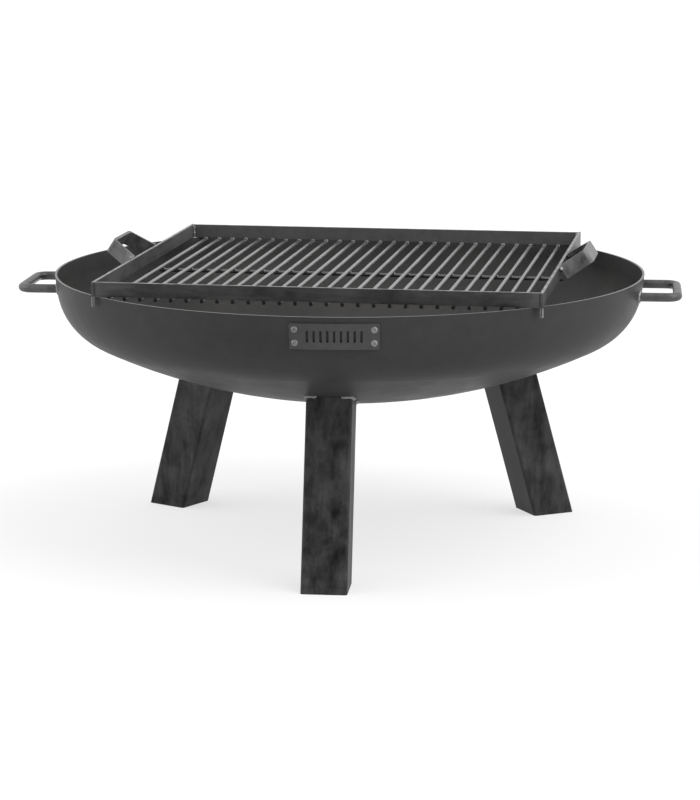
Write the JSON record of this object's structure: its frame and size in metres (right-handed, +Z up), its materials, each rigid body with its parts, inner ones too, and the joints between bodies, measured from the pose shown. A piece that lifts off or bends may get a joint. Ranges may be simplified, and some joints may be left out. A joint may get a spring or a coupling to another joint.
{
  "type": "fire pit with grate",
  "caption": "Round dished steel fire bowl on splayed square legs with side handles and a square lift-off cooking grate.",
  "frame": {"origin": "on the ground, on the bowl's axis", "axes": "+Z up, -Y towards the front leg and the name plate, +X through the right-hand carrying handle"},
  "size_m": [0.9, 0.8013, 0.4085],
  "materials": {
    "bowl_steel": "satin charcoal heat-resistant coat on pressed steel",
    "leg_steel": "satin near-black coat on mill-finish square tube",
    "handle_steel": "satin charcoal coat on round bar",
    "grate_steel": "oiled dark hot-rolled flat bar",
    "strip_steel": "dull grey flat strip with a drawn grain and handling wear",
    "rod_steel": "bare drawn rod, dull grey",
    "weld_steel": "rippled weld metal, lightly coated",
    "plate_steel": "satin grey-black sheet",
    "rivet_steel": "bare stainless rivets"
  },
  "bodies": {
    "fire_bowl": {"badge_plate": "plate_steel", "badge_rivets": "rivet_steel", "bowl": "bowl_steel", "bowl_handle_left": "handle_steel", "bowl_handle_left_weld": "weld_steel", "bowl_handle_right": "handle_steel", "bowl_handle_right_weld": "weld_steel", "leg_front": "leg_steel", "leg_front_weld": "weld_steel", "leg_left": "leg_steel", "leg_left_weld": "weld_steel", "leg_right": "leg_steel", "leg_right_weld": "weld_steel"},
    "grate": {"grate_bar_back": "grate_steel", "grate_bar_front": "grate_steel", "grate_bar_left": "grate_steel", "grate_bar_right": "grate_steel", "grate_corner_welds": "weld_steel", "grate_cross_rod": "rod_steel", "grate_handle_left": "strip_steel", "grate_handle_left_weld": "weld_steel", "grate_handle_right": "strip_steel", "grate_handle_right_weld": "weld_steel", "grate_peg_back_left": "grate_steel", "grate_peg_back_right": "grate_steel", "grate_peg_front_left": "grate_steel", "grate_peg_front_right": "grate_steel", "grate_rod_01": "rod_steel", "grate_rod_02": "rod_steel", "grate_rod_03": "rod_steel", "grate_rod_04": "rod_steel", "grate_rod_05": "rod_steel", "grate_rod_06": "rod_steel", "grate_rod_07": "rod_steel", "grate_rod_08": "rod_steel", "grate_rod_09": "rod_steel", "grate_rod_10": "rod_steel", "grate_rod_11": "rod_steel", "grate_rod_12": "rod_steel", "grate_rod_13": "rod_steel", "grate_rod_14": "rod_steel", "grate_rod_15": "rod_steel", "grate_rod_16": "rod_steel", "grate_rod_17": "rod_steel", "grate_rod_18": "rod_steel", "grate_rod_19": "rod_steel", "grate_rod_20": "rod_steel", "grate_rod_21": "rod_steel", "grate_rod_22": "rod_steel", "grate_rod_23": "rod_steel", "grate_rod_24": "rod_steel", "grate_rod_25": "rod_steel", "grate_rod_26": "rod_steel", "grate_rod_27": "rod_steel"}
  },
  "joints": [
    {"name": "grate_lift", "type": "slide", "parent": "fire_bowl", "child": "grate", "axis": [0, 0, 1], "range_m": [0, 0.3]}
  ]
}
